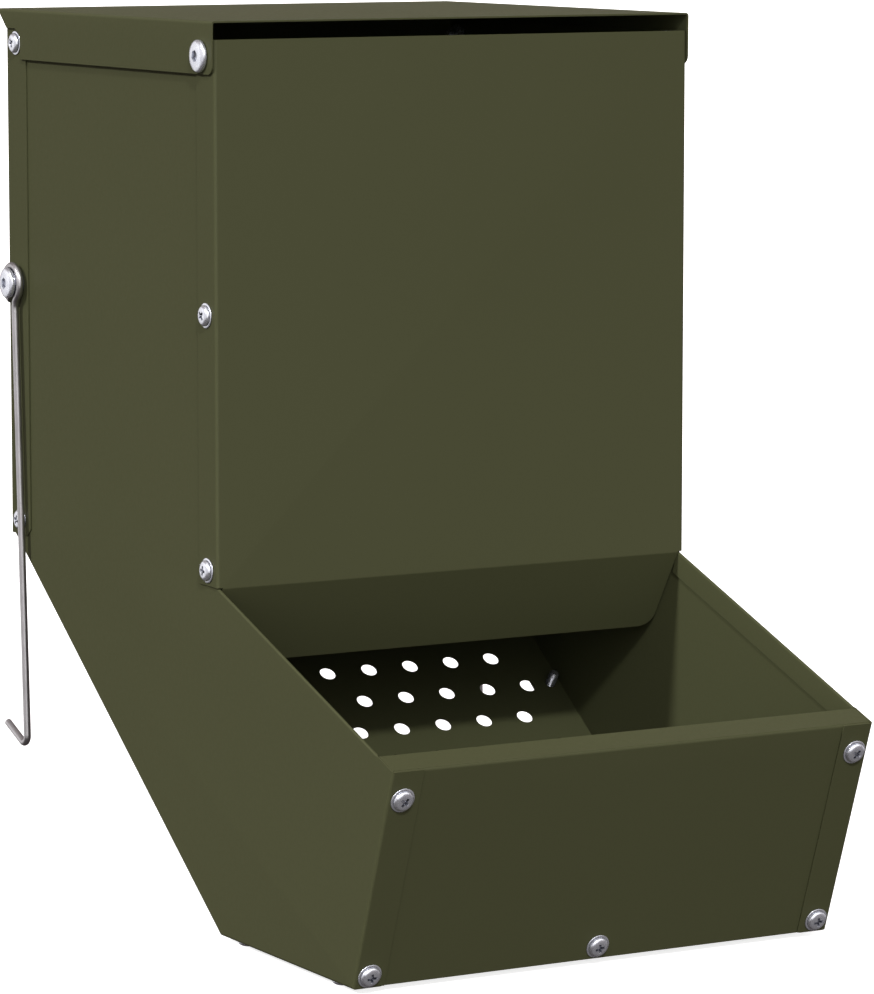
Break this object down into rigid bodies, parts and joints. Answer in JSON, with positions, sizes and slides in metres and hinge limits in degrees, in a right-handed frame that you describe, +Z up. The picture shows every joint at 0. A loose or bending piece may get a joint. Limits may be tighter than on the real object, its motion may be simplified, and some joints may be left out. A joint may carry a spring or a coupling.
{
  "type": "rabbit feeder",
  "caption": "Hanging sheet-metal pet feeder: tall hopper with a hinged lid, open sloping trough with a perforated floor, and swinging wire hooks that hang it on a cage wall.",
  "frame": {"origin": "middle of the front panel's outer face, which lies against the cage wall", "axes": "+X to the right as seen from the front, +Y towards the feeder's back, +Z up; the trough reaches out to -Y"},
  "size_m": [0.2128, 0.313, 0.3359],
  "materials": {
    "painted_sheet": "smooth matt paint",
    "zinc": "bright zinc plate",
    "hook_wire": "drawn wire"
  },
  "bodies": {
    "frame": {"right_side_panel": "painted_sheet", "left_side_panel": "painted_sheet", "front_panel": "painted_sheet", "back_panel": "painted_sheet", "floor_pan": "painted_sheet", "trough_front": "painted_sheet", "front_screws": "zinc", "back_screws": "zinc", "trough_screws": "zinc", "base_screws": "zinc", "floor_screws": "zinc", "front_washers": "zinc", "back_washers": "zinc", "trough_washers": "zinc", "base_washers": "zinc", "floor_washers": "zinc", "front_nuts": "zinc", "back_nuts": "zinc", "trough_nuts": "zinc", "base_nuts": "zinc", "lid_pivot_screws": "zinc", "lid_pivot_bushes": "zinc", "lid_pivot_nuts": "zinc", "hook_pivot_screws": "zinc", "hook_pivot_bushes": "zinc", "hook_pivot_nuts": "zinc", "hook_pivot_washers": "zinc"},
    "lid": {"lid": "painted_sheet"},
    "left_hook": {"left_hook": "hook_wire"},
    "right_hook": {"right_hook": "hook_wire"}
  },
  "joints": [
    {"name": "lid_hinge", "type": "hinge", "parent": "frame", "child": "lid", "pos_m": [0, 0.009, 0.09335], "axis": [1, 0, 0], "range_deg": [0, 103]},
    {"name": "left_hook_swing", "type": "hinge", "parent": "frame", "child": "left_hook", "pos_m": [-0.1026, 0.169, -0.0002], "axis": [-1, 0, 0], "range_deg": [0, 84]},
    {"name": "right_hook_swing", "type": "hinge", "parent": "frame", "child": "right_hook", "pos_m": [0.1026, 0.169, -0.0002], "axis": [-1, 0, 0], "range_deg": [0, 84]}
  ]
}
